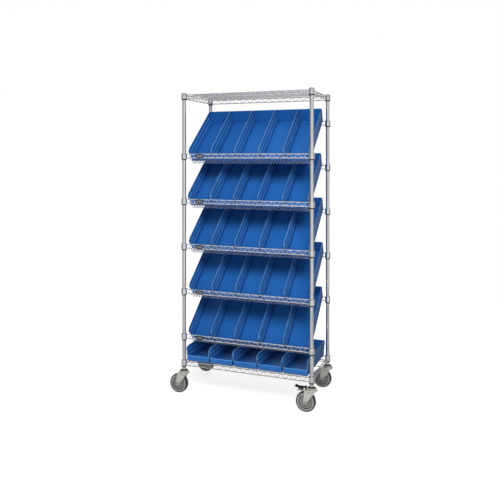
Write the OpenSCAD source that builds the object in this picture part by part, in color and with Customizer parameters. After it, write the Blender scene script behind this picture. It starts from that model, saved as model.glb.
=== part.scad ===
// Mobile bin cart: a chrome wire cart on casters, with sloping shelves that hold plastic shelf bins.
// Millimetres. The origin is on the floor, midway between the four posts. The front faces -Y.

/* [Bins] */
// Number of bins side by side on a shelf
bins_per_row = 5; // [3:1:5]
// Number of sloping shelves
slope_rows = 5; // [2:1:5]
// Width of a bin over its rim
bin_w = 167; // [120:1:200]
// Length of a bin, front to back
bin_l = 454; // [350:1:480]
// Height of a bin
bin_h = 102; // [85:1:125]
// Wall thickness of a bin
bin_wall = 2.5; // [1.5:0.1:3.5]
// How far each step of the side wall stands out from the one below
bin_step = 2.75; // [1:0.05:4]
// Height of the first step, just under the top of the front lip
bin_lip_h = 40; // [25:1:55]
// How far the slanted foot of the front lip is set back
foot_back = 13; // [6:1:16]
// Height of the slanted foot of the front lip
foot_h = 12; // [6:1:18]
// Height of the second step
bin_mid_h = 70; // [62:1:78]
// How far the rim's front corner is cut down
bin_corner_drop = 10; // [4:1:14]
// How far back the cut of the rim's front corner runs
bin_corner_run = 24; // [8:1:60]
// Gap between neighbouring bins
bin_gap = 2.2; // [0.8:0.1:5]
// Gap between a bin and the wires that it stands on
seat_gap = 0.6; // [0.4:0.1:0.9]

/* [Posts] */
// Distance between post centres, front to back
post_span_y = 431.8; // [400:0.1:470]
// Outside diameter of a post
post_d = 25.4; // [22:0.1:30]
// Wall thickness of a post
post_wall = 1.4; // [1:0.1:2]
// Distance from groove to groove, which sets the shelf heights
groove_pitch = 25.4; // [20:0.1:30]
// Width of a groove
groove_w = 2; // [1.5:0.1:3]
// Depth of a groove
groove_depth = 0.5; // [0.3:0.05:0.8]
// How far a post stands above the top shelf's collar
post_stand = 1.5; // [1:0.5:20]
// Height of a post cap above the post's end
cap_h = 4; // [3:0.5:10]
// Length of the post cap's plug inside the post
cap_plug = 14; // [8:1:30]

/* [Sleeves and collars] */
// Height of a split sleeve
sleeve_h = 41; // [36:1:44]
// Height of a sleeve's end that shows below the collar
sleeve_show = 7; // [4:0.5:9]
// Sleeve thickness at its wide lower end
sleeve_low_t = 4.2; // [3:0.1:6]
// Sleeve thickness at its narrow upper end
sleeve_high_t = 2.2; // [1.5:0.1:2.8]
// Wall of a collar at its lower end
collar_wall = 2; // [1.6:0.1:4]
// Height of a collar
collar_h = 38; // [36:1:44]
// Slit between the two halves of a sleeve
sleeve_slit = 1; // [0.6:0.1:2]
// Clearance between a post, a sleeve and a collar
wedge_gap = 0.06; // [0.03:0.01:0.1]
// Room between the outer bins and the collars
side_room = 3.64; // [3:0.01:20]

/* [Shelf wires] */
// Diameter of the long truss wires
truss_d = 6; // [5:0.1:7]
// Distance between a truss's upper and lower wire
truss_gap = 26; // [20:0.5:28]
// Diameter of the zigzag wire in a truss
snake_d = 3.4; // [3:0.1:4.5]
// Length of one zigzag
snake_period = 57; // [45:1:80]
// Diameter of the deck wires
deck_d = 4; // [3:0.1:5]
// Distance between deck wires
deck_pitch = 19.3; // [15:0.1:30]
// Distance from the outer deck wire to the post's centre
deck_margin = 39.5; // [36:0.5:60]
// Diameter of the rods across the deck
rod_d = 5; // [4:0.1:6]
// Rods across each deck
rods = 3; // [2:1:5]
// How deep crossing wires sink into each other at a weld
weld_sink = 1.5; // [1:0.1:1.8]
// Lower truss wire above the sleeve ring on a flat shelf
flat_truss_z = 5; // [4:0.5:6]
// Lower truss wire above the sleeve ring on a sloping shelf
slope_truss_z = 10.5; // [8:0.5:12]

/* [Sloping decks] */
// Post grooves from the front end of a sloping shelf up to its rear end
rear_steps = 9; // [7:1:10]
// Distance from the front posts back to the valley of the deck
valley_back = 71; // [60:1:90]
// Depth of the valley below the front sleeve ring
valley_drop = 28; // [18:1:28]
// Bend radius of a deck wire in the valley
bend_r = 10; // [6:1:14]
// Distance from the valley up the slope to a bin's front
bin_front_s = 14; // [7:0.5:16]
// Free height between the bins and the sloping deck above
reach_room = 125; // [110:1:160]
// Least room between the bottom bins and the deck above
bottom_room = 8; // [3:1:14]
// Least room between a bin that slides up its deck and the top shelf
slide_room = 1; // [0.5:0.1:4]

/* [Badges] */
// Length of an oval badge
badge_l = 54; // [40:1:80]
// Height of an oval badge
badge_h = 28; // [20:1:34]
// Thickness of a badge
badge_t = 3; // [1.5:0.1:5]
// Distance from the left post to the middle of a badge
badge_inset = 116; // [70:1:200]

/* [Casters] */
// Height of the bottom shelf's sleeve ring above the floor
first_ring_z = 182; // [178:1:260]
// Wheel diameter
wheel_d = 127; // [100:1:128]
// Wheel width
wheel_w = 32; // [24:1:36]
// Thickness of the tread
tread_t = 8; // [4:0.5:14]
// Thickness of the wheel's web
web_t = 14; // [8:1:20]
// Diameter of the wheel's hub
hub_d = 32; // [24:1:50]
// Gap between the wheel's hub and a fork leg
hub_gap = 1; // [0.5:0.1:2]
// Gap between the wheel's side and a fork leg
leg_gap = 4; // [3:0.5:8]
// How far the axle trails behind the stem
caster_trail = 37.5; // [30:0.5:45]
// Sheet thickness of the fork
fork_t = 3; // [2:0.1:5]
// Half the width of a fork leg's foot, and its depth below the axle
leg_foot_r = 17; // [14:1:20]
// Corner radius of a fork leg's foot
foot_corner_r = 6; // [3:0.5:10]
// Gap between the wheel and the fork's crown
crown_gap = 6; // [4:0.5:10]
// Diameter of the fork's round head
head_d = 70; // [62:1:76]
// Height of the fork's round head
head_h = 13.5; // [11:0.5:15]
// Diameter of the axle bolt
axle_d = 10; // [8:0.5:12]
// Diameter of the stem in the post
stem_d = 17; // [12:0.5:18]
// Length of the stem above its shoulder
stem_l = 66; // [40:1:100]
// Diameter of the kingpin that carries the fork
kingpin_d = 12; // [10:0.5:16]
// Diameter of the upper race plate
race_cap_d = 60; // [56:1:62]
// Thickness of the upper race plate
race_cap_t = 6; // [5:0.5:7]
// Ball diameter in the swivel race
ball_d = 6.35; // [5:0.05:7]
// Diameter of the ball circle
ball_circle_d = 44; // [36:1:46]
// Balls in each race
balls = 12; // [8:1:14]
// Running clearance of turning round pieces
run_gap = 0.05; // [0.02:0.01:0.1]
// Clearance of a ball in its race
ball_gap = 0.3; // [0.25:0.05:0.4]
// Flange of the bushing under the post
bushing_flange = 2; // [1:0.5:4]
// Diameter of the bushing's dust skirt over the swivel head
skirt_d = 48; // [36:1:56]
// Height of the dust skirt's rim
skirt_rim = 2; // [1:0.5:3]

/* [Brake] */
// Width of the brake pedal
pedal_w = 34; // [24:1:36]
// Thickness of the brake pedal
pedal_t = 5; // [4:0.5:7]
// Distance from the stem back to the pedal's pivot
pivot_back = 42; // [40:1:46]
// Height of the pivot above the crown's plate
pivot_rise = 12; // [11:0.5:14]
// Distance from the stem back to the pedal's tip
pedal_reach = 108; // [100:1:116]
// Distance from the stem back to the end of the brake plate
plate_reach = 88; // [80:1:95]
// Diameter of the pedal's pivot
pivot_d = 6; // [5:0.5:8]
// How far the pedal tips down
pedal_tip_deg = 12; // [6:1:12]

/* [Hidden] */
$fn = 64;
TRUSS_FLATS = 6;
DECK_FLATS = 4;
BEND_STEPS = 4;
// How far each row of bins stands off to the right, as bins that are put in by hand do
ROW_SHIFT = [-3, -8.5, 0, 2, -3, 0];
CHROME = [0.78, 0.79, 0.80];
BLACK = [0.06, 0.06, 0.065];
BIN_BLUE = [0.10, 0.26, 0.62];
ZINC = [0.80, 0.80, 0.76];
GREY = [0.55, 0.55, 0.54];
TREAD_GREY = [0.30, 0.30, 0.30];

// Posts, sleeves and collars
post_r = post_d / 2;
post_bore_r = post_r - post_wall;
sleeve_in_r = post_r + wedge_gap;
sleeve_low_r = sleeve_in_r + sleeve_low_t;
sleeve_high_r = sleeve_in_r + sleeve_high_t;
collar_r = sleeve_low_r + wedge_gap + collar_wall;
sleeve_z = -sleeve_show / 2;
collar_z = sleeve_show / 2;
bead_z = sleeve_z + sleeve_h / 2;
bin_pitch = bin_w + bin_gap;
row_w = bins_per_row * bin_pitch - bin_gap;
post_span_x = row_w + 2 * (side_room + collar_r);
front_y = -post_span_y / 2;
rear_y = post_span_y / 2;
weld_lift = (truss_d + deck_d) / 2 - weld_sink;
truss_edge = truss_d / 2 / cos(180 / TRUSS_FLATS);

// Sloping deck, measured from its front sleeve ring: valley, front wire and rear wire as [y, z]
valley = [front_y + valley_back, -valley_drop];
front_wire = [front_y, slope_truss_z];
rear_wire = [rear_y, rear_steps * groove_pitch + slope_truss_z + truss_gap];
leg_span = norm(front_wire - valley);
run_span = norm(rear_wire - valley);
leg_deg = atan2(front_wire.y - valley.y, valley.x - front_wire.x) + asin(weld_lift / leg_span);
slope_deg = atan2(rear_wire.y - valley.y, rear_wire.x - valley.x) + asin(weld_lift / run_span);
wire_end = truss_d / 2;
leg_l = sqrt(leg_span * leg_span - weld_lift * weld_lift) + wire_end;
run_l = sqrt(run_span * run_span - weld_lift * weld_lift) + wire_end;

// Shelf heights, counted in grooves above the bottom shelf
flat_deck_z = flat_truss_z + truss_gap + weld_lift;
flat_top_z = flat_deck_z + deck_d / 2;
bin_seat = deck_d / 2 + seat_gap;
low_need = flat_top_z + seat_gap + bin_h + valley_drop + deck_d / 2 + bottom_room;
low_step = ceil(low_need / groove_pitch);
row_steps = ceil((bin_h + reach_room) / cos(slope_deg) / groove_pitch);
path_y = rear_y + truss_d / 2 * tan(180 / TRUSS_FLATS) - valley.x;
path_top = valley.y + path_y * tan(slope_deg) + (bin_seat + bin_h) / cos(slope_deg);
top_need = path_top - rear_steps * groove_pitch + slide_room + truss_d / 2 - flat_truss_z;
top_step = low_step + row_steps * (slope_rows - 1) + rear_steps + ceil(top_need / groove_pitch);
top_ring_z = first_ring_z + top_step * groove_pitch;
function slope_ring_z(row) = first_ring_z + (low_step + row_steps * (slope_rows - row)) * groove_pitch;

// Casters
wheel_r = wheel_d / 2;
crown_z = wheel_d + crown_gap;
head_top_z = crown_z + head_h;
race_gap = 2;
race_z = head_top_z + race_gap / 2;
cap_z = head_top_z + race_gap;
shoulder_z = cap_z + race_cap_t;
shoulder_h = 3.5;
stem_z = shoulder_z + shoulder_h;
post_z = stem_z + bushing_flange;
post_top_z = top_ring_z + collar_z + collar_h + post_stand;
fork_gap = wheel_w + 2 * leg_gap;
fork_w = fork_gap + 2 * fork_t;
groove_first = bead_z + first_ring_z - floor((bead_z + first_ring_z - post_z) / groove_pitch) * groove_pitch;

CORNERS = [[-1, -1], [1, -1], [-1, 1], [1, 1]];
CORNER_NAMES = ["front_left", "front_right", "rear_left", "rear_right"];
function bin_name(row, col) = str("bin_", row, "_", col);

function polar(r, a) = [r * cos(a), r * sin(a)];
module at_post(corner) translate([corner.x * post_span_x / 2, corner.y * post_span_y / 2, 0]) children();
module at_posts() for (corner = CORNERS) at_post(corner) children();

// Every ring height on a post: front and rear posts differ on the sloping shelves
module at_sleeves() {
    at_posts() for (z = [first_ring_z, top_ring_z]) translate([0, 0, z]) children();
    for (row = [1:slope_rows], corner = CORNERS) {
        rise = corner.y > 0 ? rear_steps * groove_pitch : 0;
        at_post(corner) translate([0, 0, slope_ring_z(row) + rise]) children();
    }
}

// A straight wire with a flat on top, centred on its middle: six flats on the trusses, four on the deck
module wire(l, d, flats) rotate(180 / flats)
    cylinder(r = d / 2 / cos(180 / flats), h = l, center = true, $fn = flats);
module wire_x(l, d, flats) rotate([0, 90, 0]) wire(l, d, flats);
module wire_y(l, d, flats) rotate([90, 0, 0]) wire(l, d, flats);

// Steel tube with a groove at every step, so a shelf can be set at any of them
module post() {
    grooves = [for (z = [groove_first:groove_pitch:post_top_z - groove_w]) if (z > post_z + groove_w) z];
    wall = [for (z = grooves, p = [[0, -1], [1, -0.5], [1, 0.5], [0, 1]])
        [post_r - p.x * groove_depth, z + p.y * groove_w / 2]];
    color(CHROME) rotate_extrude() polygon(concat(
        [[post_bore_r, post_z], [post_r, post_z]], wall, [[post_r, post_top_z], [post_bore_r, post_top_z]]));
}

// Domed plug in the upper end of each post
module post_caps() {
    plug_r = post_bore_r - wedge_gap;
    dome_r = (post_r * post_r + cap_h * cap_h) / (2 * cap_h);
    dome_deg = asin(post_r / dome_r);
    dome = [for (k = [0:8]) polar(dome_r, 90 - dome_deg * (1 - k / 8)) + [0, cap_h - dome_r]];
    color(CHROME) at_posts() translate([0, 0, post_top_z]) rotate_extrude()
        polygon(concat([[0, -cap_plug], [plug_r, -cap_plug], [plug_r, 0]], dome));
}

// Two tapered halves on every post and shelf corner, each with a bead in the post's groove
module split_sleeves() {
    bead = groove_depth - wedge_gap;
    top = sleeve_z + sleeve_h;
    slit_deg = sleeve_slit / sleeve_in_r * 180 / PI;
    profile = [[sleeve_in_r, sleeve_z], [sleeve_low_r, sleeve_z], [sleeve_high_r, top], [sleeve_in_r, top],
        [sleeve_in_r, bead_z + groove_w / 2], [sleeve_in_r - bead, bead_z + groove_w / 4],
        [sleeve_in_r - bead, bead_z - groove_w / 4], [sleeve_in_r, bead_z - groove_w / 2]];
    color(BLACK) at_sleeves() for (half = [0, 180]) rotate(half + slit_deg / 2)
        rotate_extrude(angle = 180 - slit_deg) polygon(profile);
}

// Tapered ring at each corner of a shelf
module collar() {
    taper = (sleeve_low_t - sleeve_high_t) / sleeve_h;
    function bore_r(z) = sleeve_low_r - taper * (z - sleeve_z) + wedge_gap;
    top = collar_z + collar_h;
    rotate_extrude() polygon([
        [bore_r(collar_z), collar_z], [collar_r, collar_z], [collar_r, top], [bore_r(top), top]]);
}

// Two long wires with a zigzag wire between them, from collar to collar, lower wire at z
module truss_x(span, z) {
    half = snake_period / 2;
    long = span - 2 * (collar_r - 1);
    halves = floor((span - 2 * collar_r - snake_d) / half);
    thick = snake_d / 2 / cos(atan(truss_gap / half));
    line = [for (k = [0:halves]) [(k - halves / 2) * half, z + (k % 2) * truss_gap]];
    for (dz = [0, truss_gap]) translate([0, 0, z + dz]) wire_x(long, truss_d, TRUSS_FLATS);
    translate([0, snake_d / 2, 0]) rotate([90, 0, 0]) linear_extrude(snake_d) polygon(concat(
        [for (p = line) p + [0, thick]], [for (k = [halves:-1:0]) line[k] - [0, thick]]));
}

// Places of the deck wires across a shelf
function deck_places() = let (half = post_span_x / 2 - deck_margin, n = round(2 * half / deck_pitch))
    [for (k = [0:n]) (2 * k / n - 1) * half];

// Flat shelf with trusses all round, measured from its sleeve rings
module flat_shelf() color(CHROME) {
    at_posts() collar();
    for (y = [front_y, rear_y]) translate([0, y, 0]) truss_x(post_span_x, flat_truss_z);
    for (side = [-1, 1]) translate([side * post_span_x / 2, 0, 0]) rotate(90)
        truss_x(post_span_y, flat_truss_z);
    for (x = deck_places()) translate([x, 0, flat_deck_z])
        wire_y(post_span_y + 2 * wire_end, deck_d, DECK_FLATS);
    for (k = [1:rods]) translate([0, front_y + k * post_span_y / (rods + 1), flat_deck_z])
        translate([0, 0, weld_sink - (deck_d + rod_d) / 2]) wire_x(post_span_x - 2, rod_d, DECK_FLATS);
}

// Side view of one bent deck wire: over the front wire, down to the valley and up over the rear wire
function deck_side(r) = let (
    bend = leg_deg + slope_deg,
    centre = valley + polar(bend_r / cos(bend / 2), 90 + (slope_deg - leg_deg) / 2),
    out = r - bend_r,
    leg_end = valley + polar(leg_l, 180 - leg_deg) + polar(out, 270 - leg_deg),
    run_end = valley + polar(run_l, slope_deg) + polar(out, 270 + slope_deg),
    arc = [for (k = [0:BEND_STEPS]) centre + polar(r, 270 - leg_deg + bend * k / BEND_STEPS)])
    concat([leg_end], arc, [run_end]);
function reversed(list) = [for (k = [len(list) - 1:-1:0]) list[k]];

// Sloping shelf, measured from its front sleeve rings
module sloping_shelf() color(CHROME) {
    rise = rear_steps * groove_pitch;
    side = concat(deck_side(bend_r + deck_d / 2), reversed(deck_side(bend_r - deck_d / 2)));
    places = deck_places();
    for (corner = CORNERS) translate([0, 0, corner.y > 0 ? rise : 0]) at_post(corner) collar();
    translate([0, front_y, 0]) truss_x(post_span_x, slope_truss_z);
    translate([0, rear_y, rise]) truss_x(post_span_x, slope_truss_z);
    for (x = places) translate([x - deck_d / 2, 0, 0]) rotate([90, 0, 90])
        linear_extrude(deck_d) polygon(side);
    translate([0, valley.x, valley.y]) rotate([slope_deg, 0, 0]) for (k = [1:rods - 1])
        translate([0, k * run_l / rods, weld_sink - (deck_d + rod_d) / 2])
            wire_x(places[len(places) - 1] - places[0] + deck_d + 2, rod_d, DECK_FLATS);
}

module top_shelf() translate([0, 0, top_ring_z]) flat_shelf();
module bottom_shelf() translate([0, 0, first_ring_z]) flat_shelf();

// Blank oval plates on the front trusses of the sloping shelves
module shelf_badges() {
    end = (badge_l - badge_h) / 2;
    mid_z = slope_truss_z + truss_gap / 2;
    back_y = front_y - truss_edge - wedge_gap;
    color(GREY) for (row = [1:slope_rows])
        translate([badge_inset - post_span_x / 2, back_y, slope_ring_z(row) + mid_z]) rotate([90, 0, 0])
            linear_extrude(badge_t) {
                for (s = [-1, 1]) translate([s * end, 0]) circle(d = badge_h);
                square([2 * end, badge_h], center = true);
            }
}

// Extrudes a side view across the bin, centred
module across(w) rotate([90, 0, 90]) linear_extrude(w, center = true) children();

// One moulded bin, front at y = 0: stepped sides, an open top and a low front lip with a slanted foot
module bin() {
    steps = [0, bin_lip_h, bin_mid_h, bin_h];
    foot_in = foot_back * foot_h + bin_wall * norm([foot_back, foot_h]);
    floor_front = (foot_in - foot_back * bin_wall) / foot_h;
    foot_top = (foot_in - foot_h * bin_wall) / foot_back;
    rear = bin_l - bin_wall;
    lip_top = bin_lip_h + bin_wall;
    cut = bin_corner_run + bin_corner_drop;
    color(BIN_BLUE) difference() {
        union() {
            across(bin_w - 4 * bin_step) polygon([
                [foot_back, 0], [bin_l, 0], [bin_l, bin_lip_h], [0, bin_lip_h], [0, foot_h]]);
            for (k = [1, 2]) across(bin_w - 2 * bin_step * (2 - k)) polygon([
                [0, steps[k]], [bin_l, steps[k]], [bin_l, steps[k + 1]], [0, steps[k + 1]]]);
        }
        across(bin_w - 4 * bin_step - 2 * bin_wall) polygon([[floor_front, bin_wall], [rear, bin_wall],
            [rear, lip_top], [bin_wall, lip_top], [bin_wall, foot_top]]);
        for (k = [1, 2]) let (low = steps[k] + bin_wall, high = k == 2 ? bin_h + 1 : bin_mid_h + bin_wall)
            across(bin_w - 2 * bin_step * (2 - k) - 2 * bin_wall)
                polygon([[-1, low], [rear, low], [rear, high], [-1, high]]);
        across(bin_w + 2) polygon([
            [-1, bin_h - bin_corner_drop * (1 + 1 / bin_corner_run)], [bin_corner_run, bin_h],
            [bin_corner_run, bin_h + cut], [-1, bin_h + cut]]);
    }
}

// Rows 1 and up stand on the sloping shelves from the top down, and the last row on the bottom shelf
module bin_at(row, col) {
    x = (col - 1) * bin_pitch - (row_w - bin_w) / 2 + ROW_SHIFT[row - 1];
    if (row <= slope_rows)
        translate([x, valley.x, slope_ring_z(row) + valley.y]) rotate([slope_deg, 0, 0])
            translate([0, bin_front_s, bin_seat]) bin();
    else
        translate([x, -bin_l / 2, first_ring_z + flat_top_z + seat_gap]) bin();
}

// Stem, shoulder, upper race plate and kingpin in one turned piece
module caster_stems() {
    pin_r = kingpin_d / 2;
    rivet_h = 4;
    rivet_r = pin_r + rivet_h;
    rivet_gap = 0.4;
    rivet_z = crown_z - rivet_gap;
    shoulder_r = post_r - bushing_flange;
    stem_r = stem_d / 2;
    color(ZINC) at_posts() difference() {
        rotate_extrude() polygon([[0, rivet_z - rivet_h], [rivet_r, rivet_z - rivet_h], [rivet_r, rivet_z],
            [pin_r, rivet_z], [pin_r, cap_z], [race_cap_d / 2, cap_z], [race_cap_d / 2, shoulder_z],
            [shoulder_r, shoulder_z], [shoulder_r, stem_z], [stem_r, stem_z], [stem_r, stem_z + stem_l],
            [0, stem_z + stem_l]]);
        ball_race();
    }
}

// Ring-shaped track that the balls run in, half in the fork's head and half in the race plate
module ball_race() translate([0, 0, race_z]) rotate_extrude() translate([ball_circle_d / 2, 0])
    circle(r = ball_d / 2 + ball_gap);

module caster_balls() color(CHROME) at_posts() for (k = [0:balls - 1])
    rotate(k * 360 / balls) translate([ball_circle_d / 2, 0, race_z]) sphere(d = ball_d);

// Plastic bushing that centres the stem in the post, with a skirt that keeps dust off the swivel head
module stem_bushings() {
    bore_r = stem_d / 2 + wedge_gap;
    body_r = post_bore_r - wedge_gap;
    skirt_r = skirt_d / 2;
    skirt_in_r = post_r - bushing_flange + wedge_gap;
    skirt_z = shoulder_z + wedge_gap;
    top = stem_z + stem_l;
    color(BLACK) at_posts() rotate_extrude() polygon([[bore_r, stem_z], [skirt_in_r, stem_z],
        [skirt_in_r, skirt_z], [skirt_r, skirt_z], [skirt_r, skirt_z + skirt_rim], [post_r, post_z],
        [body_r, post_z], [body_r, top], [bore_r, top]]);
}

// Side view of a fork leg, wide at the head, with a blunt foot below the axle
module leg_side() {
    head_sink = 1;
    head_x = sqrt(head_d * head_d - fork_w * fork_w) / 2 - head_sink;
    crown_top = crown_z + fork_t;
    back_x = -caster_trail - leg_foot_r;
    front_x = -caster_trail + leg_foot_r;
    foot_z = wheel_r - leg_foot_r;
    corner_z = foot_z + foot_corner_r;
    for (x = [back_x + foot_corner_r, front_x - foot_corner_r])
        translate([x, corner_z]) circle(foot_corner_r);
    polygon([[back_x, corner_z], [back_x, wheel_r], [back_x + fork_t, crown_top], [head_x, crown_top],
        [head_x, crown_z - 2 * fork_t], [front_x, wheel_r], [front_x, corner_z],
        [front_x - foot_corner_r, foot_z], [back_x + foot_corner_r, foot_z]]);
}

// Fork: round head with its race, a crown over the wheel and two legs. The braked one has a longer plate
module fork(braked) {
    reach = braked ? plate_reach : caster_trail + leg_foot_r - fork_t;
    ear_rim = 4;
    ear_w = pivot_d + 2 * ear_rim;
    window = [18, 20];
    window_back = pivot_back + 2;
    color(ZINC) difference() {
        union() {
            translate([0, 0, crown_z]) cylinder(d = head_d, h = head_h);
            translate([-reach, -fork_w / 2, crown_z]) cube([reach, fork_w, fork_t]);
            for (s = [-1, 1]) translate([0, s * (fork_w - fork_t) / 2 + fork_t / 2, 0])
                rotate([90, 0, 0]) linear_extrude(fork_t) leg_side();
            if (braked) for (s = [-1, 1])
                translate([-pivot_back, s * (fork_w - fork_t) / 2 + fork_t / 2, crown_z + fork_t])
                    rotate([90, 0, 0]) linear_extrude(fork_t) {
                        translate([0, pivot_rise]) circle(d = ear_w);
                        translate([-ear_w / 2, -1]) square([ear_w, pivot_rise + 1]);
                    }
        }
        translate([0, 0, crown_z - 1]) cylinder(d = kingpin_d + 2 * run_gap, h = head_h + 2);
        ball_race();
        translate([-caster_trail, 0, wheel_r]) rotate([90, 0, 0])
            cylinder(d = axle_d + 2 * run_gap, h = fork_w + 2, center = true);
        if (braked) {
            translate([-pivot_back, 0, crown_z + fork_t + pivot_rise]) rotate([90, 0, 0])
                cylinder(d = pivot_d + 2 * run_gap, h = fork_w + 2, center = true);
            translate([-window_back - window.x, -window.y / 2, crown_z - 1])
                cube([window.x, window.y, fork_t + 2]);
            translate([-pivot_back - ear_w, -fork_gap / 2, crown_z + fork_t])
                cube([2 * ear_w, fork_gap, head_h + ear_w]);
        }
    }
}

// Bolt through both legs and the hub, with its nut
module axle() {
    bolt_head_h = axle_d * 0.6;
    nut_h = axle_d * 0.8;
    head_w = axle_d * 1.6 / cos(30);
    tail = axle_d + 1;
    color(CHROME) translate([-caster_trail, 0, wheel_r]) rotate([90, 0, 0]) {
        translate([0, 0, -fork_w / 2 - tail]) cylinder(d = axle_d, h = fork_w + tail + 1);
        translate([0, 0, fork_w / 2]) cylinder(d = head_w, h = bolt_head_h, $fn = 6);
        translate([0, 0, -fork_w / 2 - nut_h]) difference() {
            cylinder(d = head_w, h = nut_h, $fn = 6);
            translate([0, 0, -1]) cylinder(d = axle_d + 2 * run_gap, h = nut_h + 2);
        }
    }
}

// Wheel core with hub, web and rim, and the tread around it
module wheel() {
    hub_half = fork_gap / 2 - hub_gap;
    bore_r = axle_d / 2 + run_gap;
    rim_r = wheel_r - tread_t;
    rim_t = 8;
    edge = 4;
    half = wheel_w / 2;
    translate([-caster_trail, 0, wheel_r]) rotate([90, 0, 0]) {
        color(GREY) rotate_extrude() polygon([[bore_r, -hub_half], [hub_d / 2, -hub_half],
            [hub_d / 2, -web_t / 2], [rim_r - rim_t, -web_t / 2], [rim_r - rim_t, -half + 1],
            [rim_r, -half + 1], [rim_r, half - 1], [rim_r - rim_t, half - 1], [rim_r - rim_t, web_t / 2],
            [hub_d / 2, web_t / 2], [hub_d / 2, hub_half], [bore_r, hub_half]]);
        color(TREAD_GREY) rotate_extrude() polygon([[rim_r + run_gap, -half], [wheel_r - edge, -half],
            [wheel_r - edge / 4, -half + edge / 2], [wheel_r, -half + 2 * edge], [wheel_r, half - 2 * edge],
            [wheel_r - edge / 4, half - edge / 2], [wheel_r - edge, half], [rim_r + run_gap, half]]);
    }
}

// Brake pedal with its pivot, a raised tip and a shoe that comes down on the tread
module brake_pedal() {
    pivot_z = crown_z + fork_t + pivot_rise;
    shoe_back = 12;
    shoe_gap = 1;
    shoe_x = pivot_back + shoe_back;
    shoe_l = 6;
    shoe_w = 16;
    shoe_drop = shoe_x - caster_trail;
    tread_z = wheel_r + sqrt(wheel_r * wheel_r - shoe_drop * shoe_drop);
    shoe_z = tread_z + shoe_gap + (shoe_x + shoe_l - pivot_back) * sin(pedal_tip_deg);
    tip_l = 22;
    tip_slant = 3;
    bend_x = pedal_reach - tip_l;
    lift = 14;
    hub_r = pivot_d / 2 + 4;
    at_post(CORNERS[1]) color(BLACK) {
        translate([0, pedal_w / 2, 0]) rotate([90, 0, 0]) linear_extrude(pedal_w) {
            translate([-pivot_back, pivot_z]) circle(hub_r);
            polygon([[-pivot_back, pivot_z], [-bend_x, pivot_z], [-pedal_reach, pivot_z + lift],
                [-pedal_reach + tip_slant, pivot_z + lift + pedal_t], [-bend_x, pivot_z + pedal_t + 1],
                [-pivot_back, pivot_z + hub_r]]);
        }
        translate([-shoe_x - shoe_l, -shoe_w / 2, shoe_z]) cube([shoe_l, shoe_w, pivot_z + 1 - shoe_z]);
        translate([-pivot_back, 0, pivot_z]) rotate([90, 0, 0])
            cylinder(d = pivot_d, h = fork_w, center = true);
    }
}

for (k = [0:3]) {
    at_post(CORNERS[k]) post();
    at_post(CORNERS[k]) fork(k == 1);
    at_post(CORNERS[k]) axle();
    at_post(CORNERS[k]) wheel();
}
post_caps();
split_sleeves();
top_shelf();
for (row = [1:slope_rows])
    translate([0, 0, slope_ring_z(row)]) sloping_shelf();
bottom_shelf();
shelf_badges();
caster_stems();
stem_bushings();
caster_balls();
brake_pedal();
for (row = [1:slope_rows + 1], col = [1:bins_per_row])
    bin_at(row, col);
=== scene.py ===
import math

import bmesh
import bpy
from mathutils import Matrix, Vector


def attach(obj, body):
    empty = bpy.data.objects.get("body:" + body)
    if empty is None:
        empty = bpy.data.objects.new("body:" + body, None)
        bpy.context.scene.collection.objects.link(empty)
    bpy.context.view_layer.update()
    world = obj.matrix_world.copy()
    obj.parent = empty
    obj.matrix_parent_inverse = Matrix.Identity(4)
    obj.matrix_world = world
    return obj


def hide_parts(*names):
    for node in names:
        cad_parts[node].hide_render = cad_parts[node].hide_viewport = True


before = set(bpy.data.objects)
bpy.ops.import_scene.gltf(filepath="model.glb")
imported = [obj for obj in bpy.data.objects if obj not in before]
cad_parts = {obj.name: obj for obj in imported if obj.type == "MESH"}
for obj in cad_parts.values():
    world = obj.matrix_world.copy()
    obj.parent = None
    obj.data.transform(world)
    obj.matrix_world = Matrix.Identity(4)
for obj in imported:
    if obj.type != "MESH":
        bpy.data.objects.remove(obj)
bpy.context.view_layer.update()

scene = bpy.context.scene

# Sizes in millimetres. They are the solids' own, but for the fork legs' feet and the pedal's tip, which are
# slimmer here. Pieces are scaled to metres when they are finished.
MM = 0.001
UP, RIGHT, BACK = Vector((0, 0, 1)), Vector((1, 0, 0)), Vector((0, 1, 0))
CORNERS = {"front_left": (-1, -1), "front_right": (1, -1), "rear_left": (-1, 1), "rear_right": (1, 1)}

# Posts, sleeves and collars
POST_X, POST_Y, POST_R, POST_WALL = 444.56, 215.9, 12.7, 1.4
POST_Z, POST_TOP = 160.0, 2028.4
GROOVE_PITCH, GROOVE_W, GROOVE_DEPTH = 25.4, 2.0, 0.5
CAP_H, CAP_PLUG = 4.0, 12.0
TOP_GROOVE, SLOPE_GROOVE, ROW_GROOVES, REAR_GROOVES, SLOPES = 71, 55, 12, 9, 5
FIRST_RING = 182.0
TOP_RING = FIRST_RING + TOP_GROOVE * GROOVE_PITCH
SLOPE_RINGS = tuple(FIRST_RING + (SLOPE_GROOVE - ROW_GROOVES * k) * GROOVE_PITCH for k in range(SLOPES))
REAR_RISE = REAR_GROOVES * GROOVE_PITCH
FIT = 0.06
PLUG_R = POST_R - POST_WALL - FIT
SLEEVE_IN_R, SLEEVE_LOW_R, SLEEVE_HIGH_R = POST_R + FIT, 16.96, 14.96
SLEEVE_Z, SLEEVE_TOP, SLEEVE_SLIT = -3.5, 37.5, 1.0
COLLAR_R, COLLAR_Z, COLLAR_TOP = 19.02, 3.5, 41.5

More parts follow.
